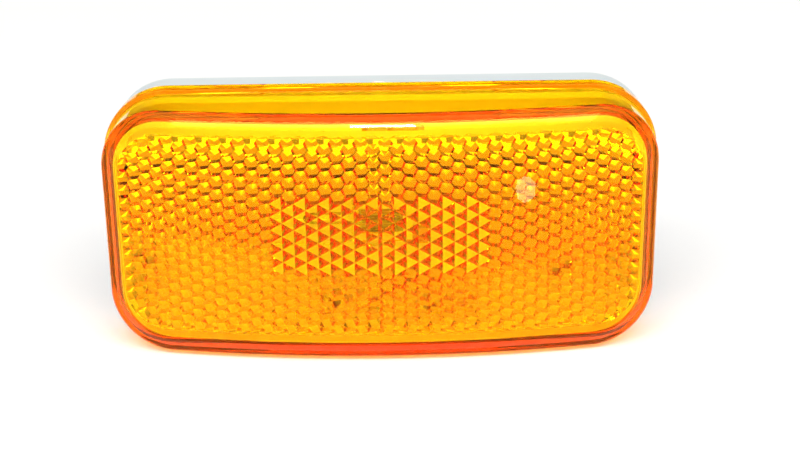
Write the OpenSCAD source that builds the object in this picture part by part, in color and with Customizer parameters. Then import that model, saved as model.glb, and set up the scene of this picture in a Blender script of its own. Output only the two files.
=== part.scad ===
// Rectangular clearance lamp: amber reflex lens on a white base, wedge bulb inside.
// Every piece is drawn lying on its back: x runs along the lamp, y up its face,
// and z from the mounting face towards the viewer. in_frame() stands it up.

/* [Lens] */
// Width over the rim of the lens
lens_w = 103; // [90:0.5:130]
// Height over the rim of the lens
lens_h = 48.4; // [44:0.2:60]
// Corner radius of the rim
corner_r = 12.4; // [9:0.2:16]
// Depth of the lens, from its seat on the base to the top of the crown
lens_d = 19.6; // [16:0.2:26]
// Thickness of the side walls
lens_wall = 1.8; // [1.4:0.1:2.2]
// Thickness of the clear skin in front of the prisms
face_t = 2; // [1.4:0.1:2.6]
// Radius of the crowned face, which bends along the length only
crown_r = 200; // [150:5:400]
// How far the rim stands out from the wall
rim_lip = 0.8; // [0.4:0.1:1.2]
// Depth of the rim
rim_d = 3.4; // [2:0.1:5]
// How much narrower the wall is at the face than at the rim, each side
draft = 0.2; // [0:0.05:0.5]
// Width of the rolled outer edge of the face
edge_w = 1.4; // [0.8:0.1:2]
// Drop of the rolled outer edge
edge_drop = 1.5; // [0.8:0.1:2]
// Height of the fine step between the outer edge and the face
step_h = 0.25; // [0.1:0.05:0.5]
// Width of the soft roll inside the step
roll_w = 1.4; // [0.8:0.1:2]
// Drop of the soft roll
roll_drop = 0.4; // [0.2:0.05:0.8]

/* [Reflex panel] */
// Width of the prism panel
panel_w = 94; // [70:0.5:96]
// Height of the prism panel
panel_h = 38; // [28:0.5:40]
// Corner radius of the prism panel
panel_r = 7.6; // [4:0.2:12]
// Size of one hexagonal prism across its flats
pin_af = 2.5; // [2.2:0.05:3.5]
// Columns of blunt prisms in the window that lets the bulb shine through
window_columns = 18; // [8:2:30]
// Rows of blunt prisms in the window
window_rows = 5; // [3:2:9]

/* [Base] */
// Depth of the base, which is what shows behind the lens
base_d = 6; // [5:0.1:10]
// How far the base lies inside the lens's rim, each side
base_inset = 0.2; // [0:0.1:0.6]
// Thickness of the back plate
plate_t = 2; // [1.6:0.1:2.6]
// Thickness of the outer skirt
skirt_t = 1.8; // [1.4:0.1:2.2]
// Height of the inner wall above the lens's seat
spigot_h = 4; // [3:0.1:5]
// Thickness of the inner wall
spigot_t = 1.5; // [1.2:0.1:2]
// Clearance between the inner wall and the lens
fit_gap = 0.2; // [0.1:0.05:0.4]
// Distance between the two mounting screws
screw_span = 76.2; // [64:0.1:80]
// Diameter of the mounting screw holes
screw_d = 4.6; // [4:0.1:5.4]
// Diameter of the screw bosses
boss_d = 10; // [8:0.2:12]
// Height of the screw bosses above the back plate
boss_h = 3; // [1:0.2:5]
// Diameter of the hole for the supply leads
wire_d = 6; // [5:0.1:8]
// Distance of the lead hole from the lamp's centre
wire_x = 25; // [23:0.5:28]
// Width of the half-round pry notch under the rim
notch_w = 3; // [2:0.1:5]
// Depth of the pry notch into the skirt
notch_t = 0.8; // [0.4:0.1:1.2]

/* [Snap fit] */
// Length of one snap bead inside the lens
bead_l = 9; // [6:0.5:14]
// Radius of a snap bead
bead_r = 0.8; // [0.6:0.05:1]
// How far a bead stands out of the lens wall
bead_out = 0.5; // [0.3:0.05:0.6]
// Distance of the beads from the lens's seat
bead_z = 2; // [1.6:0.1:2.4]
// Distance of each bead's middle from the lamp's centre
bead_x = 26; // [16:1:32]

/* [Bulb] */
// Diameter of the glass
bulb_d = 10.3; // [9:0.1:11]
// Length of the bulb
bulb_l = 26.8; // [24:0.2:30]
// Thickness of the glass
glass_t = 0.6; // [0.4:0.05:0.9]
// Width of the flat wedge that plugs in
wedge_w = 9.5; // [8:0.1:10]
// Thickness of the wedge
wedge_t = 2.4; // [2:0.1:3]
// Length of the wedge
wedge_l = 7; // [6:0.1:9]
// Diameter of the lead-in wires
lead_d = 0.5; // [0.3:0.05:0.6]
// Half the distance between the two lead-in wires
lead_x = 2.6; // [2:0.1:3.2]
// Height of the filament's feet above the end of the wedge
light_l = 14.2; // [12:0.2:17]
// Diameter of the coiled filament
coil_d = 0.6; // [0.4:0.05:0.8]
// Distance of the wedge's end from the lamp's centre
bulb_x = 3; // [1:0.5:15]

/* [Contacts] */
// Thickness of the brass strip
strip_t = 0.4; // [0.3:0.05:0.6]
// Width of the brass strip
strip_w = 6; // [4:0.1:6.5]
// Clearance between the contact jaws and the wires on the wedge
jaw_gap = 0.02; // [0.01:0.01:0.1]
// Length of the foot, from the jaw outwards
foot_l = 7.4; // [6:0.1:9]
// Outer diameter of the eyelets
eyelet_d = 3; // [2.4:0.1:3.4]
// Diameter of the eyelets' heads
head_d = 5; // [4.2:0.1:5.6]
// Thickness of the eyelets' heads
head_t = 0.4; // [0.3:0.05:0.6]
// Thickness of the socket's cheeks
cheek_t = 1.6; // [1.2:0.1:2]
// Running clearance round the strips and eyelets
slip = 0.1; // [0.05:0.05:0.2]

/* [Gasket] */
// Thickness of the foam gasket
gasket_t = 1.2; // [0.8:0.1:2]
// How far the gasket lies inside the base, each side
gasket_inset = 0.4; // [0.2:0.1:2]

/* [Hidden] */
$fn = 48;
tiny = 0.01;
// Depths above the mounting face
base_z = gasket_t;
plate_z = base_z + plate_t;
seat_z = base_z + base_d;
top_z = seat_z + lens_d;
// Corner cubes standing on a corner: the height from the corner to the next three,
// and from those three to the last three, is the same
pin_side = pin_af / sqrt(3);
pin_step = pin_af / sqrt(6);
pin_root = 0.5;
// Each column stands at one depth, so the pits between the prisms stay this far above the
// skin behind them, more than the crown falls away across one column
pit_h = 0.4;
// Outlines, each as its distance inside the rim
wall_in = rim_lip;
cavity_in = wall_in + lens_wall;
spigot_in = cavity_in + fit_gap;
// The bulb lies along the lamp, midway between the back plate and the prisms
bulb_z = (plate_z + top_z - face_t - pit_h - 2 * pin_step) / 2;
bulb_r = bulb_d / 2;
shoulder_l = wedge_l + bulb_r * 0.75;
crook_r = (wedge_t + lead_d) / 4;
crook_out = crook_r + lead_d / 2;
// Socket and contacts
jaw_y = wedge_t / 2 + lead_d + jaw_gap;
strip_x = bulb_x - wedge_l / 2;
jaw_top = bulb_z + wedge_w * 0.3;
cheek_y = jaw_y + strip_t + slip;
cheek_top = bulb_z + wedge_w * 0.2;
cheek_l = wedge_l + crook_out + slip;
eyelet_y = jaw_y + foot_l - head_d / 2;
eyelet_hole = eyelet_d + 2 * slip;

// Stands the lamp up with its face towards the viewer
module in_frame() {
    rotate([90, 0, 0]) children();
}

module rounded(w, h, r) {
    square([w - 2 * r, h], center = true);
    square([w, h - 2 * r], center = true);
    for (x = [r - w / 2, w / 2 - r], y = [r - h / 2, h / 2 - r]) {
        translate([x, y]) circle(r);
    }
}

// The lamp's outline, drawn a given distance inside the rim
module outline(inset) {
    rounded(lens_w - 2 * inset, lens_h - 2 * inset, corner_r - inset);
}

module slab(z, h) {
    translate([0, 0, z]) linear_extrude(h) children();
}

module ring(z, h, inset, t) {
    slab(z, h) difference() {
        outline(inset);
        outline(inset + t);
    }
}

// How far the crowned face falls away at a distance x from the lamp's middle
function crown(x) = crown_r - sqrt(pow(crown_r, 2) - pow(x, 2));

// Everything behind a surface that lies a given drop behind the crowned face
module under_crown(drop) {
    translate([0, 0, top_z - crown_r]) rotate([90, 0, 0])
        cylinder(r = crown_r - drop, h = lens_h + 2, center = true, $fn = 180);
}

module crowned_slab(inset, drop) {
    intersection() {
        slab(seat_z, lens_d) outline(inset);
        under_crown(drop);
    }
}

// The lens's outside: rim, drafted wall, rolled edge, fine step and soft roll
module lens_outside() {
    slab(seat_z, rim_d) outline(0);
    hull() {
        slab(seat_z, tiny) outline(wall_in);
        for (a = [0:22.5:90]) {
            crowned_slab(
                wall_in + draft + edge_w * (1 - cos(a)),
                roll_drop + step_h + edge_drop * (1 - sin(a))
            );
        }
    }
    hull() for (a = [0:30:90]) {
        crowned_slab(
            wall_in + draft + edge_w + roll_w * (1 - cos(a)),
            roll_drop * (1 - sin(a))
        );
    }
}

// One prism of the reflex panel: a cube's corner on a hexagonal shank. turn is the way that
// its first long edge points. A blunt prism is cut off flat through its three near corners.
module prism(x, y, turn, blunt) {
    pit_z = top_z - crown(x) - face_t - pit_h;
    corner = function (k, z) [x + pin_side * cos(60 * k), y + pin_side * sin(60 * k), z];
    root = [for (k = [0:5]) corner(k, pit_z + pit_h + pin_root)];
    cube_corners = [
        for (k = [0:5]) corner(k, (60 * k - turn) % 120 == 0 ? pit_z - pin_step : pit_z)
    ];
    apex = blunt ? [] : [[x, y, pit_z - 2 * pin_step]];
    points = concat(root, cube_corners, apex);
    hull() polyhedron(points, [[for (k = [0:len(points) - 1]) k]]);
}

// The panel: columns of prisms, the two halves of the lamp turned opposite ways
module reflex_panel() {
    pitch_x = pin_side * 1.5;
    columns = ceil(panel_w / 2 / pitch_x);
    rows = ceil(panel_h / 2 / pin_af) + 1;
    intersection() {
        slab(seat_z, lens_d) rounded(panel_w, panel_h, panel_r);
        union() for (i = [-columns:columns - 1], j = [-rows:rows]) {
            column = i + 0.5;
            row = j + (i % 2 == 0 ? 0 : 0.5);
            blunt = abs(column) < window_columns / 2 && abs(row) <= window_rows / 2;
            prism(column * pitch_x, row * pin_af, column < 0 ? 60 : 0, blunt);
        }
    }
}

module snap_beads() {
    reach = lens_h / 2 - cavity_in + bead_r - bead_out;
    for (x = [-bead_x, bead_x], s = [-1, 1]) {
        intersection() {
            translate([x, s * reach, seat_z + bead_z]) rotate([0, 90, 0])
                cylinder(r = bead_r, h = bead_l, center = true, $fn = 24);
            slab(seat_z, lens_d) outline(wall_in + lens_wall / 2);
        }
    }
}

// Lens: one moulding of clear amber acrylic, prisms and snap beads included
module lens() {
    color([1, 0.6, 0.02]) in_frame() {
        difference() {
            lens_outside();
            hull() {
                slab(seat_z - tiny, tiny) outline(cavity_in);
                crowned_slab(cavity_in + draft, face_t);
            }
        }
        reflex_panel();
        snap_beads();
    }
}

module at_screws() {
    for (x = [-screw_span / 2, screw_span / 2]) {
        translate([x, 0, 0]) children();
    }
}

module at_eyelets() {
    for (s = [-1, 1]) {
        translate([strip_x, s * eyelet_y, 0]) children();
    }
}

// The socket grips the wedge between two cheeks and an end wall
module socket() {
    for (s = [0, 1]) mirror([0, s, 0]) {
        translate([bulb_x - wedge_l, cheek_y, plate_z - tiny])
            cube([cheek_l + cheek_t, cheek_t, cheek_top - plate_z + tiny]);
    }
    translate([bulb_x + crook_out + slip, -cheek_y - cheek_t, plate_z - tiny])
        cube([cheek_t, 2 * (cheek_y + cheek_t), cheek_top - plate_z + tiny]);
}

// Base: one white moulding, with the skirt that shows behind the lens, the inner wall
// that the lens snaps over, two screw bosses and the bulb's socket
module base() {
    color([0.93, 0.95, 0.95]) in_frame() difference() {
        union() {
            slab(base_z, plate_t) outline(base_inset);
            ring(base_z, base_d, base_inset, skirt_t);
            ring(base_z, base_d + spigot_h, spigot_in, spigot_t);
            at_screws() translate([0, 0, base_z]) cylinder(d = boss_d, h = plate_t + boss_h);
            translate([wire_x, 0, base_z]) cylinder(d = wire_d + 2 * spigot_t, h = plate_t + 1);
            socket();
        }
        at_screws() translate([0, 0, -1]) cylinder(d = screw_d, h = top_z);
        translate([wire_x, 0, -1]) cylinder(d = wire_d, h = top_z);
        at_eyelets() {
            translate([0, 0, -1]) cylinder(d = eyelet_hole, h = top_z);
            translate([0, 0, base_z - 1]) cylinder(d = head_d + 4 * slip, h = 1 + head_t + slip);
        }
        // Slots that the feet of the contacts pass through
        translate([strip_x, 0, plate_z + (strip_t + slip) / 2])
            cube([strip_w + 2 * slip, 2 * eyelet_y, strip_t + slip], center = true);
        // Windows that the snap beads click into
        for (x = [-bead_x, bead_x]) {
            translate([x, 0, seat_z + bead_z])
                cube([bead_l + 4 * slip, lens_h - 2 * cavity_in, 2 * (bead_r + slip)], center = true);
        }
        // Half-round notch at the top, where a blade pries the lens off
        translate([0, lens_h / 2 - base_inset - notch_t, seat_z]) rotate([-90, 0, 0])
            cylinder(d = notch_w, h = lens_h);
    }
}

// Gasket: die-cut black foam between the base and the vehicle
module gasket() {
    color([0.12, 0.12, 0.13]) in_frame() difference() {
        slab(0, gasket_t) outline(base_inset + gasket_inset);
        at_screws() translate([0, 0, -1]) cylinder(d = screw_d + 4 * slip, h = gasket_t + 2);
        translate([wire_x, 0, -1]) cylinder(d = wire_d + 2, h = gasket_t + 2);
    }
}

// Stands the bulb's own axis, from the wedge's end up to the tip, along the lamp
module along_bulb() {
    in_frame() translate([bulb_x, 0, bulb_z]) rotate([0, -90, 0]) children();
}

// A glass balloon: neck, body and dome, with r as the radius of the body
module balloon(r, floor_l) {
    translate([0, 0, floor_l])
        cylinder(r1 = r * 0.82, r2 = r, h = shoulder_l - floor_l);
    translate([0, 0, shoulder_l]) cylinder(r = r, h = bulb_l - bulb_r - shoulder_l);
    translate([0, 0, bulb_l - bulb_r]) sphere(r);
}

// Bulb: a clear glass capsule whose end is pressed flat into a wedge
module bulb_glass() {
    color([0.85, 0.9, 0.92, 0.4]) along_bulb() difference() {
        union() {
            balloon(bulb_r, wedge_l);
            translate([-wedge_w / 2, -wedge_t / 2, 0]) cube([wedge_w, wedge_t, wedge_l + 1]);
        }
        balloon(bulb_r - glass_t, wedge_l + 2 * glass_t);
        for (x = [-lead_x, lead_x]) {
            translate([x, 0, -1]) cylinder(d = lead_d + 2 * jaw_gap, h = bulb_l / 2);
        }
    }
}

// Lead-in wire: up through the wedge to the filament, its tail folded back over the wedge
module lead(side) {
    color([0.72, 0.7, 0.66]) along_bulb() {
        translate([side * lead_x, 0, 0]) {
            cylinder(d = lead_d, h = light_l);
            translate([0, side * 2 * crook_r, 0]) cylinder(d = lead_d, h = wedge_l * 0.7);
            translate([0, side * crook_r, 0]) rotate([0, 90, 0]) rotate([0, 0, -90])
                rotate_extrude(angle = 180) translate([crook_r, 0]) circle(d = lead_d);
        }
    }
}

module lead_upper() {
    lead(1);
}

module lead_lower() {
    lead(-1);
}

// Filament: a coil of tungsten wire in an arch over the two lead-in wires
module filament() {
    color([0.35, 0.34, 0.33]) along_bulb()
        translate([0, 0, light_l]) rotate([90, 0, 0])
            rotate_extrude(angle = 180) translate([lead_x, 0]) circle(d = coil_d);
}

// Contact: a folded brass strip, its jaw against the wedge, its foot riveted to the base,
// and an open barrel at the foot's side for a supply lead
module contact() {
    barrel_w = 3;
    barrel_l = 4;
    barrel_h = 2;
    difference() {
        union() {
            translate([strip_x - strip_w / 2, jaw_y, plate_z])
                cube([strip_w, strip_t, jaw_top - plate_z]);
            translate([strip_x - strip_w / 2, jaw_y, plate_z])
                cube([strip_w, foot_l, strip_t]);
            translate([strip_x, eyelet_y - barrel_w / 2, plate_z])
                cube([strip_w / 2 + 2 + barrel_l, barrel_w, strip_t]);
            for (y = [0, barrel_w - strip_t]) {
                translate([strip_x + strip_w / 2 + 2, eyelet_y - barrel_w / 2 + y, plate_z])
                    cube([barrel_l, strip_t, barrel_h]);
            }
        }
        translate([strip_x, eyelet_y, plate_z - 1]) cylinder(d = eyelet_hole, h = 2 + strip_t);
    }
}

module contact_upper() {
    color([0.8, 0.62, 0.3]) in_frame() contact();
}

module contact_lower() {
    color([0.8, 0.62, 0.3]) in_frame() mirror([0, 1, 0]) contact();
}

// Eyelets: hollow rivets, each spun over the contact's foot and the back plate
module eyelets() {
    bore = eyelet_d - 2 * strip_t;
    color([0.78, 0.78, 0.76]) in_frame() at_eyelets() difference() {
        union() {
            translate([0, 0, base_z + slip]) cylinder(d = head_d, h = head_t);
            translate([0, 0, base_z + slip])
                cylinder(d = eyelet_d, h = plate_t + strip_t + head_t - slip);
            translate([0, 0, plate_z + strip_t]) cylinder(d = head_d, h = head_t);
        }
        translate([0, 0, -1]) cylinder(d = bore, h = top_z);
    }
}

lens();
base();
gasket();
bulb_glass();
filament();
lead_upper();
lead_lower();
contact_upper();
contact_lower();
eyelets();
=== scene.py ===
import math

import bmesh
import bpy
import numpy as np
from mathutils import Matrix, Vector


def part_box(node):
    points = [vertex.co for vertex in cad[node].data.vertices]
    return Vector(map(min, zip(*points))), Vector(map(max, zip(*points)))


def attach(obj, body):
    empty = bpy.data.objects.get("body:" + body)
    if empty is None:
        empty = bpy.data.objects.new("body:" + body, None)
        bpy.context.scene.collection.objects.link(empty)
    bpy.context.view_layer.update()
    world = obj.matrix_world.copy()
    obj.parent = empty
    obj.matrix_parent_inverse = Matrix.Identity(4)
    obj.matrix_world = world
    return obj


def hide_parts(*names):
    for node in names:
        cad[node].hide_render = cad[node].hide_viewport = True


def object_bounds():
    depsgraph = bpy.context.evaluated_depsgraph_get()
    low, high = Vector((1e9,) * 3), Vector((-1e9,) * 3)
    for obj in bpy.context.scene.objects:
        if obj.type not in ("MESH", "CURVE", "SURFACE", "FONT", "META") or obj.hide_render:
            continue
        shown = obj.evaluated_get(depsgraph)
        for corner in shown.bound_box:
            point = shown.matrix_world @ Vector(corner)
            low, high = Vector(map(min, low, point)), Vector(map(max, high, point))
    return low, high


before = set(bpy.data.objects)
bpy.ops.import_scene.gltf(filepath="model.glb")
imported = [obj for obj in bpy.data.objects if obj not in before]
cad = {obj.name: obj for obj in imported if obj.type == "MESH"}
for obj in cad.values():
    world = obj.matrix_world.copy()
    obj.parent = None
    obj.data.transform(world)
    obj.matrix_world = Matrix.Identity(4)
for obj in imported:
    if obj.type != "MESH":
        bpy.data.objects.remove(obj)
cad_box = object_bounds()

# ---------------------------------------------------------------- base
# One white moulding in ABS: back plate, skirt, inner wall, screw bosses and the bulb's socket.
# Its mould was fine-blasted, so it is semi-gloss with a slight orange peel.
WHITE_ABS = "#e4ecec"
MM = 0.001
PEEL = 0.625  # mm, from one swelling of the orange peel to the next


def linear(colour):
    """sRGB hex to linear light: a channel c is c / 12.92 below 0.04045, and otherwise
    ((c + 0.055) / 1.055) to the power of 2.4."""
    c = np.array([int(colour[i:i + 2], 16) for i in (1, 3, 5)]) / 255
    c = np.where(c < 0.04045, c / 12.92, ((c + 0.055) / 1.055) ** 2.4)
    return (*c.tolist(), 1.0)


def new_material(name):
    """A material with its node tree, its Principled shader and its output."""
    material = bpy.data.materials.new(name)
    material.use_nodes = True
    tree = material.node_tree
    return material, tree, tree.nodes["Principled BSDF"], tree.nodes["Material Output"]


def add(tree, kind, links=None, **values):
    """Adds one node; values go to its properties or its sockets, and links join its sockets to
    other nodes' outputs."""
    made = tree.nodes.new("ShaderNode" + kind)
    for name, value in values.items():
        if hasattr(made, name):
            setattr(made, name, value)
        else:
            made.inputs[name.replace("_", " ")].default_value = value
    for name, output in (links or {}).items():
        tree.links.new(output, made.inputs[name])
    return made


def place(tree):
    """Object coordinates in millimetres."""
    where = add(tree, "TexCoord")
    return add(tree, "VectorMath", {0: where.outputs["Object"]},
               operation="SCALE", Scale=1 / MM).outputs[0]


def dress(node, material):
    """Gives a CAD node its material."""
    mesh = cad[node].data
    if mesh.materials:
        for i in range(len(mesh.materials)):
            mesh.materials[i] = material
    else:
        mesh.materials.append(material)


white_abs, tree, shader, _ = new_material("white_abs")
shader.inputs["Base Color"].default_value = linear(WHITE_ABS)
shader.inputs["IOR"].default_value = 1.53
at = place(tree)
peel = add(tree, "TexNoise", {"Vector": at}, Scale=1 / PEEL, Detail=4.0, Roughness=0.6)
gloss = add(tree, "MapRange", {"Value": peel.outputs["Fac"]},
            From_Min=0.3, From_Max=0.7, To_Min=0.3, To_Max=0.42)
bump = add(tree, "Bump", {"Height": peel.outputs["Fac"]}, Strength=0.15, Distance=0.02 * MM)
tree.links.new(gloss.outputs[0], shader.inputs["Roughness"])
tree.links.new(bump.outputs[0], shader.inputs["Normal"])
dress("base", white_abs)

# ---------------------------------------------------------------- contacts and eyelets
# Half-hard brass strip, 0.4 mm, blanked and folded, and tin-plated brass eyelets spun over it.
# The strip keeps the fine grain of the rolling mill and a little brown tarnish, and the tin is
# dull with small spangles.
BRASS = "#d9b265"
BRASS_TARNISH = "#b99350"
TIN = "#c9c9c4"
GRAIN_W, GRAIN_L = 1 / 14, 1 / 0.7  # mm, a grain line's width and its length
STAIN, SPANGLE = 2.0, 0.4  # mm across

brass, tree, shader, _ = new_material("brass")
at = place(tree)
grain = add(tree, "Mapping", {"Vector": at}, Scale=(1 / GRAIN_W, 1 / GRAIN_L, 1 / GRAIN_L))
streak = add(tree, "TexNoise", {"Vector": grain.outputs[0]}, Scale=1.0, Detail=3.0)
stain = add(tree, "TexNoise", {"Vector": at}, Scale=1 / STAIN, Detail=5.0)
tint = add(tree, "ValToRGB", {"Fac": stain.outputs["Fac"]})
tint.color_ramp.elements[0].position = 0.35
tint.color_ramp.elements[0].color = linear(BRASS)
tint.color_ramp.elements[1].position = 0.8
tint.color_ramp.elements[1].color = linear(BRASS_TARNISH)
gloss = add(tree, "MapRange", {"Value": streak.outputs["Fac"]},
            From_Min=0.3, From_Max=0.7, To_Min=0.22, To_Max=0.38)
bump = add(tree, "Bump", {"Height": streak.outputs["Fac"]}, Strength=0.08, Distance=0.01 * MM)
tree.links.new(tint.outputs["Color"], shader.inputs["Base Color"])
tree.links.new(gloss.outputs[0], shader.inputs["Roughness"])
tree.links.new(bump.outputs[0], shader.inputs["Normal"])
shader.inputs["Metallic"].default_value = 1.0
dress("contact_upper", brass)
dress("contact_lower", brass)

tin, tree, shader, _ = new_material("tin_plate")
shader.inputs["Base Color"].default_value = linear(TIN)
shader.inputs["Metallic"].default_value = 1.0
at = place(tree)
spangle = add(tree, "TexNoise", {"Vector": at}, Scale=1 / SPANGLE, Detail=3.0)
gloss = add(tree, "MapRange", {"Value": spangle.outputs["Fac"]},
            From_Min=0.3, From_Max=0.7, To_Min=0.25, To_Max=0.45)
tree.links.new(gloss.outputs[0], shader.inputs["Roughness"])
dress("eyelets", tin)

# ---------------------------------------------------------------- bulb
# A 10 mm capsule wedge bulb: clear soda-lime glass pressed flat at its foot, two nickel-iron
# lead-in wires folded back over the wedge, and a coil of drawn tungsten arched between them.
# The glass has faint waves, and the metals the dull flecks that drawing leaves.
GLASS = "#fbfdfc"
WIRE = "#b0a898"
TUNGSTEN = "#6b6865"
REAM, WIRE_FLECK, TUNGSTEN_FLECK = 2.5, 1 / 6, 1 / 9  # mm across
# The coil is wound coarser than a real one, so that its turns can show
COIL_TURNS, TURN_STEPS, STRAND_SIDES = 38, 14, 5
COIL_R = 0.24 * MM
STRAND_R = 0.05 * MM
ROD_R = 0.3 * MM  # the plain rod's, which the CAD model has in the coil's place

glass, tree, shader, _ = new_material("bulb_glass")
shader.inputs["Base Color"].default_value = linear(GLASS)
shader.inputs["Transmission Weight"].default_value = 1.0
shader.inputs["IOR"].default_value = 1.51
at = place(tree)
ream = add(tree, "TexNoise", {"Vector": at}, Scale=1 / REAM, Detail=1.0)
bump = add(tree, "Bump", {"Height": ream.outputs["Fac"]}, Strength=0.3, Distance=0.05 * MM)
gloss = add(tree, "MapRange", {"Value": ream.outputs["Fac"]}, To_Min=0.0, To_Max=0.03)
tree.links.new(gloss.outputs[0], shader.inputs["Roughness"])
tree.links.new(bump.outputs[0], shader.inputs["Normal"])
dress("bulb_glass", glass)

wire, tree, shader, _ = new_material("lead_wire")
shader.inputs["Base Color"].default_value = linear(WIRE)
shader.inputs["Metallic"].default_value = 1.0
at = place(tree)
drawn = add(tree, "TexNoise", {"Vector": at}, Scale=1 / WIRE_FLECK, Detail=2.0)
gloss = add(tree, "MapRange", {"Value": drawn.outputs["Fac"]}, To_Min=0.25, To_Max=0.5)
tree.links.new(gloss.outputs[0], shader.inputs["Roughness"])
dress("lead_upper", wire)
dress("lead_lower", wire)


def new_piece(name, points, faces, material, slot, smooth):
    """Puts points in metres and faces into a mesh object that rides on the lamp."""
    mesh = bpy.data.meshes.new(name)
    mesh.from_pydata(points.tolist(), [], faces)
    mesh.polygons.foreach_set("use_smooth", np.full(len(mesh.polygons), smooth))
    mesh.materials.append(material)
    piece = bpy.data.objects.new(name, mesh)
    bpy.context.scene.collection.objects.link(piece)
    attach(piece, "root")
    return piece


def grid_quads(rows, columns, closed):
    """Faces over a grid of points that is numbered row by row: point (i, j) is joined to (i, j + 1),
    (i + 1, j + 1) and (i + 1, j), and in a closed grid the last column to the first."""
    i, j = np.meshgrid(np.arange(rows - 1), np.arange(columns if closed else columns - 1), indexing="ij")
    k = (j + 1) % columns
    corners = [i * columns + j, i * columns + k, (i + 1) * columns + k, (i + 1) * columns + j]
    return np.stack(corners, -1).reshape(-1, 4)


def tube(centre, beside, radius, sides):
    """A tube along a curve: each ring is the curve's point plus radius times the cosine and sine
    of the turn along two directions square to the tangent, and the first of these is what of
    beside is square to it."""
    tangent = np.gradient(centre, axis=0)
    tangent /= np.linalg.norm(tangent, axis=1)[:, None]
    across = beside - (beside * tangent).sum(axis=1)[:, None] * tangent
    across /= np.linalg.norm(across, axis=1)[:, None]
    up = np.cross(tangent, across)
    turn = np.linspace(0, 2 * math.pi, sides, endpoint=False)[:, None]
    rings = centre[:, None] + radius * (np.cos(turn) * across[:, None] + np.sin(turn) * up[:, None])
    last_ring = (len(centre) - 1) * sides
    ends = [list(range(sides))[::-1], list(range(last_ring, last_ring + sides))]
    return rings.reshape(-1, 3), grid_quads(len(centre), sides, True).tolist() + ends


# The arch is a half-circle in the plane of X and Y that bulges towards the bulb's tip. A point of
# the strand is the arch's middle, plus the arch's radius along outward, plus the coil's radius
# along spoke, which turns square to the arch
low, high = (np.array(v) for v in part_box("filament"))
arch_r = (high[1] - low[1]) / 2 - ROD_R
arch_middle = np.array([high[0], (low[1] + high[1]) / 2, (low[2] + high[2]) / 2])
share = np.linspace(0, 1, COIL_TURNS * TURN_STEPS)
arch = math.pi * share
outward = np.stack([-np.sin(arch), np.cos(arch), 0 * share], 1)
sideways = np.array([0.0, 0.0, 1.0])
wind = 2 * math.pi * COIL_TURNS * share
spoke = np.cos(wind)[:, None] * outward + np.sin(wind)[:, None] * sideways
strand = arch_middle + arch_r * outward + COIL_R * spoke
tungsten, tree, shader, _ = new_material("tungsten")
shader.inputs["Base Color"].default_value = linear(TUNGSTEN)
shader.inputs["Metallic"].default_value = 1.0
at = place(tree)
flecks = add(tree, "TexNoise", {"Vector": at}, Scale=1 / TUNGSTEN_FLECK, Detail=2.0)
gloss = add(tree, "MapRange", {"Value": flecks.outputs["Fac"]}, To_Min=0.35, To_Max=0.6)
tree.links.new(gloss.outputs[0], shader.inputs["Roughness"])
coil = new_piece("filament_coil", *tube(strand, spoke, STRAND_R, STRAND_SIDES), tungsten, "tungsten",
                 smooth=True)
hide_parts("filament")

# ---------------------------------------------------------------- lens
# One injection moulding of clear amber acrylic that snaps over the base's inner wall. Its face is
# polished; behind it stands a bundle of corner-cube prisms, column by column along the crown, the
# left and right half turned opposite ways.

# The CAD model's sizes, in mm
LENS_W, LENS_H, CORNER_R = 103.0, 48.4, 12.4
SEAT_Z, TOP_Z, CROWN_R = 7.2, 26.8, 200.0
WALL, FACE_T, LIP, RIM_D, DRAFT = 1.8, 2.0, 0.8, 3.4, 0.2
PANEL_R, PIN, PIT_H = 7.6, 2.5, 0.4
WINDOW_COLUMNS, WINDOW_ROWS = 18, 5
BEAD_X, BEAD_L, BEAD_R, BEAD_OUT, BEAD_Z = 26.0, 9.0, 0.8, 0.5, 2.0
PIN_SIDE, PIN_STEP = PIN / math.sqrt(3), PIN / math.sqrt(6)
# Sizes that depart from it, in mm: the bands round the face, the panel, and a hair of air under
# the seat
BAND_W, BAND_DROP, STEP_H = 1.25, 0.25, 0.1
ROLL_W, ROLL_DROP = 1.5, 0.8
PANEL_W, PANEL_H, PANEL_Y = 94.8, 37.6, -0.2
AIR = 0.04
# The roll begins a little in from the step and down by this share of its drop, and is bowed
ROLL_IN, ROLL_START, ROLL_BOW = 0.12, 0.9, 0.12
# The wall grows thicker towards the face, as the deep orange of its ends suggests. Along the top
# this share of the growth is left out
HAUNCH, TOP_SPARED = 1.15, 0.75
# The prisms' tips lean a little off their middle, so a prism's facets don't all shine alike
LEAN = 0.08
LEAN_DOWN, LEAN_BACK = 0.6 * LEAN, 0.4 * LEAN
# Points on each straight and corner of the outline, round each bend, over the beads and the roll,
# and along each corner of the panel
ALONG, BESIDE, ROUND = 96, 24, 48
BEND_STEPS, BEAD_ROWS, ROLL_ROWS, PANEL_CUTS = 5, 13, 13, 13
# A prism's nine points are its six corners, its apex and the middles of its two edges at the seam
PRISM_POINTS, APEX, MIDDLE_A, MIDDLE_B = 9, 6, 7, 8
SAME = 1e7  # per metre: points that agree to 0.0001 mm are one point


def crown(x):
    """The crowned face's fall: radius less the root of radius squared less x squared."""
    return CROWN_R - np.sqrt(CROWN_R ** 2 - x ** 2)


def stand(x, up, depth):
    """From the mould's x, height and depth in mm to the lamp's own frame in metres."""
    return np.stack([x, -depth, up], -1) * MM


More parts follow.
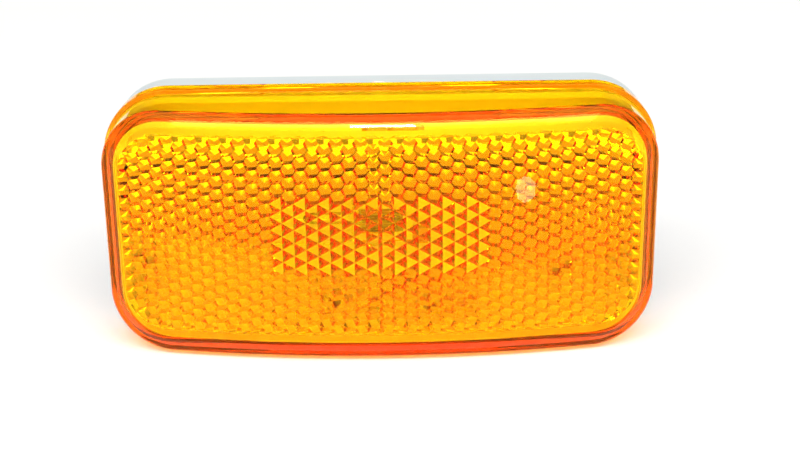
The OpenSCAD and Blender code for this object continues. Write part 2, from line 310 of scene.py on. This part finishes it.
def outline(inset):
    """A rounded rectangle walked anticlockwise from the lower right, with as many points on each
    straight and corner whatever its inset, so one outline's points lie beside the next one's. A
    corner's points are its middle plus the radius times the cosine and sine of the turn."""
    r = CORNER_R - inset[..., None]
    cx, cy = LENS_W / 2 - CORNER_R, LENS_H / 2 - CORNER_R
    quarter = np.linspace(0, math.pi / 2, ROUND, endpoint=False)
    along, beside = (np.linspace(-1, 1, steps, endpoint=False) for steps in (ALONG, BESIDE))
    cos, sin = r * np.cos(quarter), r * np.sin(quarter)
    px = [cx + r + 0 * beside, cx + cos, -cx * along + 0 * r, -cx - sin,
          -cx - r + 0 * beside, -cx - cos, cx * along + 0 * r, cx + sin]
    py = [cy * beside + 0 * r, cy + sin, cy + r + 0 * along, cy + cos,
          -cy * beside + 0 * r, -cy - sin, -cy - r + 0 * along, -cy - cos]
    return np.concatenate(px, -1), np.concatenate(py, -1)


def rounded_profile(corners):
    """A section of straight lines whose corners are rounded: round a corner P between A and B the
    points are (1-t)^2 A + 2t(1-t) P + t^2 B, with A and B the given radius away from P."""
    p = np.array([c[:3] for c in corners], float)
    r = np.array([c[3] for c in corners])[1:-1, None]
    back, ahead = p[:-2] - p[1:-1], p[2:] - p[1:-1]
    a = p[1:-1] + back * r / np.linalg.norm(back[:, :2], axis=1)[:, None]
    b = p[1:-1] + ahead * r / np.linalg.norm(ahead[:, :2], axis=1)[:, None]
    t = np.linspace(0, 1, BEND_STEPS)[None, :, None]
    bends = (1 - t) ** 2 * a[:, None] + 2 * t * (1 - t) * p[1:-1, None] + t ** 2 * b[:, None]
    return np.concatenate([p[:1], bends.reshape(-1, 3), p[-1:]])


# The section, from the skin behind the face round the seat and the rim to the face. A corner is
# its distance inside the rim, its depth at the middle of the lamp, how far that depth follows the
# crown, and the radius of its bend
inner, edge = LIP + WALL, LIP + DRAFT
under, seat, rim_top = TOP_Z - FACE_T, SEAT_Z + AIR, SEAT_Z + RIM_D
step_z, roll_fall = TOP_Z - ROLL_DROP - STEP_H, ROLL_DROP * ROLL_START
band_in, roll_in = edge + BAND_W, edge + BAND_W + ROLL_IN
inside = rounded_profile([
    (inner + HAUNCH + 0.25, under, 1, 0),  # on the skin, 0.1 mm beyond the panel's ends
    (inner + HAUNCH, under, 1, 0.2),  # the skin meets the wall
    (inner + HAUNCH * 0.6, under - 5.0, 0.7, 3.0),  # the wall grows thinner
    (inner + 0.06, seat + BEAD_Z + 2.4, 0.12, 0)])  # its own thickness, above the beads
bead_rows = np.linspace(seat + BEAD_Z + 1.2, seat + BEAD_Z - 1.2, BEAD_ROWS)
beads = np.stack([np.full(BEAD_ROWS, inner), bead_rows, 0 * bead_rows], 1)
seat_and_rim = rounded_profile([
    (inner, seat + 0.6, 0, 0),  # below the beads
    (inner, seat, 0, 0.15),  # the seat's inner edge
    (0, seat, 0, 0.2), (0, rim_top, 0, 0.3), (LIP, rim_top, 0, 0.2),  # the rim
    (LIP + 0.02, rim_top + 0.8, 0.05, 0)])  # the outer wall's foot
outer_band = rounded_profile([
    (edge - 0.02, TOP_Z - 2.5, 1, 0),  # the outer wall's top
    (edge, step_z - BAND_DROP, 1, 0.5), (band_in, step_z, 1, 0.03),  # the band
    (band_in + 0.05, TOP_Z - ROLL_DROP, 1, 0.03),  # the step
    (roll_in, TOP_Z - roll_fall, 1, 0)])  # the roll begins
# The roll: with t from 0 to 1 across it, its fall is the first fall times (1 - t)(1 - bow t)
t = np.linspace(0, 1, ROLL_ROWS)[1:, None]
roll_x = roll_in + (ROLL_W - ROLL_IN) * t
roll_z = TOP_Z - roll_fall * (1 - t) * (1 - ROLL_BOW * t)
soft_roll = np.concatenate([roll_x, roll_z, 1 + 0 * t], 1)
section = np.concatenate([inside, beads, seat_and_rim, outer_band, soft_roll])

x, y = outline(section[:, 0])
rings, count = x.shape
inset, level, follows = section[:, 0:1], section[:, 1:2], section[:, 2:3]
# Along the top the wall keeps nearly its own thickness all the way up: it is shifted outwards by
# a share of its growth that rises with the cube of the height
growth = np.where(np.arange(rings)[:, None] < len(inside), inset - inner, 0)
y = y + TOP_SPARED * growth * np.clip(2 * y / LENS_H, 0, 1) ** 3
depth = level - follows * crown(x)
# The snap beads: below the haunch the wall stands out by a half-round, over each bead's length on
# the two long sides
swell = np.sqrt(np.clip(BEAD_R ** 2 - (level - seat - BEAD_Z) ** 2, 0, None)) - (BEAD_R - BEAD_OUT)
plain_wall = (np.abs(inset - inner) < 1e-6) & (level > seat + 0.7)
beside_bead = (np.abs(np.abs(x) - BEAD_X) < BEAD_L / 2) & (np.abs(y) > 15)
y = y - np.sign(y) * np.where(plain_wall & beside_bead, np.clip(swell, 0, None), 0)
shell = stand(x, y, depth).reshape(-1, 3)
shell_faces = grid_quads(rings, count, True)

# The face: strips from the top edge straight down to the bottom edge, true to the crown
last = (rings - 1) * count
n_strips = 2 * ROUND + ALONG
top = last + BESIDE + np.arange(n_strips + 1)
bottom = last + (count - np.arange(n_strips + 1)) % count
strips = np.stack([top[:-1], top[1:], bottom[1:], bottom[:-1]], 1)[1:-1].tolist()
right_end = [*range(last, last + BESIDE + 1), top[1], bottom[1]]
left_end = [*range(top[-1], bottom[-1] + 1), bottom[-2], top[-2]]
face_faces = [*strips, right_end, left_end]

# The prisms: hexagonal columns whose ends are a cube's corner. Corner k of a hexagon lies at
# 60k degrees; every other one is a pit, the rest stand one step up and the apex two steps
half_columns = math.ceil(PANEL_W / 2 / (PIN_SIDE * 1.5))
half_rows = math.ceil(PANEL_H / 2 / PIN) + 1
column, row = (v.ravel() for v in np.meshgrid(
    np.arange(-half_columns, half_columns), np.arange(-half_rows, half_rows + 1), indexing="ij"))
row = row + np.where(column % 2 == 0, 0, 0.5)
column = column + 0.5
cx, cy = column * PIN_SIDE * 1.5, row * PIN
pit_z = under - PIT_H - crown(cx)
left = column < 0
at_seam = np.abs(column) < 1
blunt = (np.abs(column) < WINDOW_COLUMNS / 2) & (np.abs(row) <= WINDOW_ROWS / 2)
corner = np.arange(6)
raised = (corner[None] % 2 == 1) == left[:, None]
hx = cx[:, None] + PIN_SIDE * np.cos(corner * math.pi / 3)
hy = cy[:, None] + PIN_SIDE * np.sin(corner * math.pi / 3)
hz = pit_z[:, None] - PIN_STEP * raised
seam_corner = np.where(left, 0, 3)


def seam_middle(v, ahead):
    """Halfway from a prism's corner nearest the seam to the corner ahead places on: their mean."""
    prism = np.arange(len(v))
    return (v[prism, seam_corner] + v[prism, (seam_corner + ahead) % 6])[:, None] / 2


apex_z = pit_z - 2 * PIN_STEP + LEAN_BACK
px, py, pz = (np.concatenate([h, apex[:, None], seam_middle(h, 1), seam_middle(h, -1)], 1)
              for h, apex in ((hx, cx), (hy, cy), (hz, apex_z)))
px[:, APEX] += np.where(left, LEAN, -LEAN)
py[:, APEX] -= LEAN_DOWN
ids = np.arange(len(cx))[:, None] * PRISM_POINTS
first_pit = np.where(left, 0, 1)[:, None]


def facets(chosen, cut):
    """The three facets round a prism's pits, joined to the apex or, on a blunt prism, cut off."""
    out = []
    for turn in (0, 2, 4):
        pit = (first_pit[chosen] + turn) % 6
        a, b = ids[chosen] + (pit + 1) % 6, ids[chosen] + (pit - 1) % 6
        facet = [a, ids[chosen] + pit, b]
        out.append((pit[:, 0], np.concatenate(facet if cut else [ids[chosen] + APEX, *facet], 1)))
    return out


prism_faces = []
for cut in (False, True):
    chosen = np.flatnonzero(blunt == cut)
    for pit, quads in facets(chosen, cut):
        split = at_seam[chosen] & (pit == seam_corner[chosen])
        prism_faces += quads[~split].tolist()
        whole, prism = quads[split], ids[chosen][split]
        with_middles = [whole[:, :-2], prism + MIDDLE_A, whole[:, -2:-1], prism + MIDDLE_B, whole[:, -1:]]
        prism_faces += np.concatenate(with_middles, 1).tolist()
caps = ids[blunt] + (first_pit[blunt] + np.array([5, 3, 1])) % 6
prism_faces += caps.tolist()
# Walls between a column and the next one to the right, which stands at another depth. Each row
# here gives an edge's two corners, the same ones on the neighbour, its row and the seam's middle
n_rows = 2 * half_rows + 1
grid = np.arange(len(cx)).reshape(2 * half_columns, n_rows)
for from_a, to_a, from_b, to_b, shift, middle in ((0, 1, 4, 3, 1, MIDDLE_A), (5, 0, 3, 2, 0, MIDDLE_B)):
    for c in range(2 * half_columns - 1):
        # columns with an odd number stand half a row higher than the even ones
        up = shift if (c - half_columns) % 2 else shift - 1
        r = np.arange(max(0, -up), n_rows - max(0, up))
        a_id, b_id = grid[c, r] * PRISM_POINTS, grid[c + 1, r + up] * PRISM_POINTS
        p_a, q_a, q_b, p_b = a_id + from_a, a_id + to_a, b_id + to_b, b_id + from_b
        if c == half_columns - 1:
            mid = a_id + middle
            prism_faces += np.stack([p_a, mid, p_b], 1).tolist() + np.stack([mid, q_a, q_b], 1).tolist()
        else:
            prism_faces += np.stack([p_a, q_a, q_b, p_b], 1).tolist()

points = stand(px, py, pz).reshape(-1, 3)
_, first, where = np.unique(
    np.round(points * SAME).astype(np.int64), axis=0, return_index=True, return_inverse=True)
where = where.reshape(-1)
sheet = bpy.data.meshes.new("sheet")
sheet.from_pydata(points[first].tolist(), [], [where[face].tolist() for face in prism_faces])
trim = bmesh.new()
trim.from_mesh(sheet)
# The panel's edge: the sheet is cut along each short chord of a rounded rectangle
quarter = np.linspace(0, math.pi / 2, PANEL_CUTS)
turn = np.concatenate([quarter + q * math.pi / 2 for q in range(4)])
side_x, side_y = np.repeat([[1, -1, -1, 1], [1, 1, -1, -1]], PANEL_CUTS, axis=1)
ex = side_x * (PANEL_W / 2 - PANEL_R) + PANEL_R * np.cos(turn)
ey = side_y * (PANEL_H / 2 - PANEL_R) + PANEL_R * np.sin(turn) + PANEL_Y
for a in range(len(turn)):
    b = (a + 1) % len(turn)
    bmesh.ops.bisect_plane(
        trim, geom=trim.verts[:] + trim.edges[:] + trim.faces[:], dist=1e-8, clear_outer=True,
        plane_co=(ex[a] * MM, 0, ey[a] * MM), plane_no=(ey[b] - ey[a], 0.0, -(ex[b] - ex[a])))
trim.to_mesh(sheet)
trim.free()


def read(items, name, width, kind):
    """One property of all of a mesh's points, loops or faces, as an array."""
    values = np.zeros(len(items) * width, kind)
    items.foreach_get(name, values)
    return values


sheet_points = read(sheet.vertices, "co", 3, np.float64).reshape(-1, 3)
loops = read(sheet.loops, "vertex_index", 1, np.int64)
start = read(sheet.polygons, "loop_start", 1, np.int64)
total = read(sheet.polygons, "loop_total", 1, np.int64)
sheet_faces = [face.tolist() for face in np.split(loops, start[1:])]
# An edge is on the border where no face walks it the other way
following = np.arange(len(loops)) + 1
following[start + total - 1] = start
here, there = loops, loops[following]
size = len(sheet_points)
border = ~np.isin(here * size + there, there * size + here)
tail, head = here[border], there[border]
# Where two columns meet at the border their points lie one behind the other; the wall to the
# skin starts at the one nearest the skin
seen_from_front = np.round(sheet_points[:, [0, 2]] * SAME).astype(np.int64)
_, spot = np.unique(seen_from_front, axis=0, return_inverse=True)
spot = spot.reshape(-1)
on_border = np.unique(np.concatenate([tail, head]))
order = on_border[np.lexsort((sheet_points[on_border, 1], spot[on_border]))]
spots, first = np.unique(spot[order], return_index=True)
near = np.full(spot.max() + 1, -1)
near[spots] = order[first]
flat = spot[tail] != spot[head]
tail, head = tail[flat], head[flat]
near_tail, near_head = near[spot[tail]], near[spot[head]]
foot_id = np.full(spot.max() + 1, -1)
foot_id[spots] = size + np.arange(len(spots))
foot_tail, foot_head = foot_id[spot[tail]], foot_id[spot[head]]
fx, fy = sheet_points[near[spots], 0] / MM, sheet_points[near[spots], 2] / MM
foot_points = stand(fx, fy, under - crown(fx))
wall_faces = np.stack([near_head, near_tail, foot_tail, foot_head], 1).tolist()
gap = near_tail != tail
wall_faces += np.stack([head[gap], tail[gap], near_tail[gap]], 1).tolist()
gap = near_head != head
wall_faces += np.stack([head[gap], near_tail[gap], near_head[gap]], 1).tolist()

# The skin between the panel and the wall: both borders are walked by the angle seen from the
# middle, and each step along either one makes a triangle
offset = size + len(spots)
angle_a = np.arctan2(fy * PANEL_W / PANEL_H, fx)
angle_b = np.arctan2(y[0] * PANEL_W / PANEL_H, x[0])
sort_a, sort_b = np.argsort(angle_a), np.argsort(angle_b)
ring_a, angle_a = foot_id[spots][sort_a], angle_a[sort_a]
ring_b, angle_b = np.arange(count)[sort_b] + offset, angle_b[sort_b]
next_a, next_b = np.roll(angle_a, -1), np.roll(angle_b, -1)
beside_a = ring_b[np.searchsorted(angle_b, next_a, side="right") - 1]
beside_b = ring_a[np.searchsorted(angle_a, next_b, side="left") - 1]
skin_faces = np.stack([ring_a, np.roll(ring_a, -1), beside_a], 1).tolist()
skin_faces += np.stack([np.roll(ring_b, -1), ring_b, beside_b], 1).tolist()
lens_points = np.concatenate([sheet_points, foot_points, shell])
shell_all = (shell_faces + offset).tolist() + [[int(v) + offset for v in face] for face in face_faces]
lens_faces = sheet_faces + wall_faces + skin_faces + shell_all

# Clear acrylic from a polished mould: its dye absorbs green at 84 per metre and blue at 1200, and
# lets red pass. Its reflections are tinted amber, which real acrylic's aren't, and the lamps that
# lie as highlights on it are tinted blue to make up for that
DYE, DYE_DENSITY = (1.0, 0.93, 0.0, 1.0), 1200.0
MIRRORED = (1.0, 0.7, 0.12, 1.0)
POLISH = 1 / 0.12  # mm, over which the polish wanders
HAIR_L, HAIR_GAP = 50.0, 2.0  # mm, a wiping scratch's length and the space to the next

acrylic, tree, shader, output = new_material("amber_acrylic")
shader.inputs["Base Color"].default_value = (1, 1, 1, 1)
shader.inputs["Transmission Weight"].default_value = 1.0
shader.inputs["IOR"].default_value = 1.49
shader.inputs["Specular Tint"].default_value = MIRRORED
at = place(tree)
# A polish that wanders a little, and hair scratches from wiping: thin lines where long cells meet
haze = add(tree, "TexNoise", {"Vector": at}, Scale=1 / POLISH, Detail=4.0)
polish = add(tree, "MapRange", {"Value": haze.outputs["Fac"]},
             From_Min=0.35, From_Max=0.7, To_Min=0.0, To_Max=0.02)
wiped = add(tree, "Mapping", {"Vector": at},
            Scale=(1 / HAIR_L, 1 / HAIR_L, 1 / HAIR_GAP), Rotation=(0.0, 0.5, 0.0))
hairs = add(tree, "TexVoronoi", {"Vector": wiped.outputs[0]},
            feature="DISTANCE_TO_EDGE", Scale=1.0, Randomness=1.0)
scratch = add(tree, "MapRange", {"Value": hairs.outputs["Distance"]},
              From_Min=0.0, From_Max=0.006, To_Min=0.09, To_Max=0.0)
roughness = add(tree, "Math", {0: polish.outputs[0], 1: scratch.outputs[0]}, operation="ADD")
tree.links.new(roughness.outputs[0], shader.inputs["Roughness"])
dye = add(tree, "VolumeAbsorption", Color=DYE, Density=DYE_DENSITY)
tree.links.new(dye.outputs[0], output.inputs["Volume"])
# Every face is flat, with the bends cut fine: smoothed normals beside the panel and the roll make
# the renderer count the air behind them as acrylic
lens = new_piece("lens_moulding", lens_points, lens_faces, acrylic, "amber_acrylic", smooth=False)
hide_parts("lens")

# ---------------------------------------------------------------- gasket
# Die-cut from black closed-cell foam, 1.2 mm thick, and glued to the back of the base. Cut cells
# 0.3 mm across make it dead matt and a little lighter where each one opens.
FOAM = "#26262a"
FOAM_OPEN = "#3a3a3e"
CELL = 0.3125  # mm across

foam, tree, shader, _ = new_material("closed_cell_foam")
at = place(tree)
cells = add(tree, "TexVoronoi", {"Vector": at}, Scale=1 / CELL)
tint = add(tree, "ValToRGB", {"Fac": cells.outputs["Distance"]})
tint.color_ramp.elements[0].color = linear(FOAM_OPEN)
tint.color_ramp.elements[1].color = linear(FOAM)
tint.color_ramp.elements[1].position = 0.5
bump = add(tree, "Bump", {"Height": cells.outputs["Distance"]},
           Strength=0.6, Distance=0.08 * MM, invert=True)
tree.links.new(tint.outputs["Color"], shader.inputs["Base Color"])
tree.links.new(bump.outputs[0], shader.inputs["Normal"])
shader.inputs["Roughness"].default_value = 0.9
dress("gasket", foam)

# ---------------------------------------------------------------- studio
# A pale table in a light tent that is bright on the viewer's side, dark low down behind, and
# dimmer where the viewer stands. Of its four lamps two hang in front, a wide strip and a small
# bright bar, one glows inside the lens, and one is a faint glint low in front.
FLOOR = "#fcfcfa"
TABLE_REACH, TABLE_POINTS = 3.0, 13  # metres to either side, points along it
TENT_FRONT = (0.0, -0.866, 0.5)  # 30 degrees up on the viewer's side
SHADE_MIDDLE, SHADE_SQUEEZE = (0.0, 0.0, 0.37), (2.2, 0.0, 5.3)
SHADE_TINT = (0.36, 0.265, 0.16, 1.0)

table_material, tree, shader, _ = new_material("table")
shader.inputs["Base Color"].default_value = linear(FLOOR)
shader.inputs["Roughness"].default_value = 0.9
side = np.linspace(-TABLE_REACH, TABLE_REACH, TABLE_POINTS)
gx, gy = np.meshgrid(side, side)
table_mesh = bpy.data.meshes.new("table")
table_mesh.from_pydata(np.stack([gx, gy, 0 * gx + cad_box[0][2]], -1).reshape(-1, 3).tolist(), [],
                       grid_quads(TABLE_POINTS, TABLE_POINTS, False).tolist())
table_mesh.materials.append(table_material)
table = bpy.data.objects.new("table", table_mesh)
bpy.context.scene.collection.objects.link(table)

tent = bpy.data.worlds.new("light_tent")
bpy.context.scene.world = tent
tent.use_nodes = True
tree = tent.node_tree
background = tree.nodes["Background"]
where_to = add(tree, "TexCoord")
facing = add(tree, "VectorMath", {0: where_to.outputs["Generated"]}, operation="DOT_PRODUCT")
facing.inputs[1].default_value = TENT_FRONT
overhead = add(tree, "MapRange", {"Value": facing.outputs["Value"]}, interpolation_type="SMOOTHSTEP",
               From_Min=-0.35, From_Max=-0.05, To_Min=0.02, To_Max=0.42)
frontal = add(tree, "MapRange", {"Value": facing.outputs["Value"]}, interpolation_type="SMOOTHSTEP",
              From_Min=0.5, From_Max=0.9, To_Min=0.0, To_Max=2.4)
# The viewer's own warm shade: an oval from 10 to 34 degrees up and 27 degrees to either side. It
# lies behind the lamp as well, where the tent is dark anyway
off_viewer = add(tree, "VectorMath", {0: where_to.outputs["Generated"]}, operation="SUBTRACT")
off_viewer.inputs[1].default_value = SHADE_MIDDLE
oval = add(tree, "VectorMath", {0: off_viewer.outputs[0]}, operation="MULTIPLY")
oval.inputs[1].default_value = SHADE_SQUEEZE
reach = add(tree, "VectorMath", {0: oval.outputs[0]}, operation="LENGTH")
open_sky = add(tree, "MapRange", {"Value": reach.outputs["Value"]}, interpolation_type="SMOOTHSTEP",
               From_Min=0.8, From_Max=1.1, To_Min=0.0, To_Max=1.0)
shade = add(tree, "ValToRGB", {"Fac": open_sky.outputs[0]})
shade.color_ramp.elements[0].color = SHADE_TINT
shade.color_ramp.elements[1].color = (1.0, 1.0, 1.0, 1.0)
sky = add(tree, "Math", {0: overhead.outputs[0], 1: frontal.outputs[0]}, operation="ADD")
tree.links.new(shade.outputs["Color"], background.inputs["Color"])
tree.links.new(sky.outputs[0], background.inputs["Strength"])


def soft_box(name, strength, colour, size, where, towards, passed_by=()):
    """A rectangular light: strength is its radiance, size its width and height in metres, and
    passed_by the kinds of ray that don't meet it."""
    lamp = bpy.data.lights.new(name, "AREA")
    lamp.shape = "RECTANGLE"
    lamp.size, lamp.size_y = size
    lamp.color = colour
    lamp.energy = strength * math.pi * size[0] * size[1]
    box = bpy.data.objects.new(name, lamp)
    bpy.context.scene.collection.objects.link(box)
    box.location = where
    aim = np.array(towards, float) - np.array(where, float)
    tilt = math.acos(-aim[2] / np.linalg.norm(aim))
    box.rotation_euler = (tilt, 0, math.atan2(aim[0], -aim[1]) + math.pi)
    for ray in passed_by:
        setattr(box, "visible_" + ray, False)
    return box


AIM = (0, 0, 0.02)  # high on the lamp
soft_box("strip_light", 9.0, (1, 1, 1), (1.2, 0.17), (0.0, -0.84, 0.78), AIM)
# The bar makes only its own white highlight, and lights nothing that is matt
soft_box("bar_light", 170.0, (0.75, 1.0, 3.2), (0.1, 0.036), (0.0, -0.5, 0.415), AIM,
         passed_by=("diffuse",))
# The glow lies inside the lens, and shows only by what it lights
soft_box("glow_light", 7.0, (1.0, 0.45, 0.02), (0.08, 0.003), (0.0, -0.0195, 0.017), (0, 0, 0.017),
         passed_by=("camera", "transmission", "glossy"))
# The glint is a faint lamp that the face shows as a pale veil right of the middle
glint = soft_box("glint", 6.5, (0.7, 1.0, 3.0), (0.0075, 0.006), (0.0523, -0.097, -0.0166),
                 (0.0263, -0.0249, 0.0073), passed_by=("diffuse",))
glint.data.shape = "ELLIPSE"

camera_data = bpy.data.cameras.new("camera")
camera = bpy.data.objects.new("camera", camera_data)
bpy.context.scene.collection.objects.link(camera)
camera_data.sensor_width = 36.0
camera_data.lens = 66.08
camera_data.shift_x = 0.0245
camera_data.shift_y = 0.011
camera_data.clip_start = 0.01
camera.location = (0.00317, -0.27284, 0.09135)
camera.rotation_euler = [math.radians(v) for v in (69.915, 0.938, 0.383)]
bpy.context.scene.camera = camera
bpy.context.scene.view_settings.view_transform = "Standard"
bpy.context.scene.cycles.max_bounces = 32
bpy.context.scene.cycles.transmission_bounces = 32
bpy.context.scene.cycles.glossy_bounces = 16
bpy.context.scene.cycles.diffuse_bounces = 8
bpy.context.scene.cycles.blur_glossy = 0.0
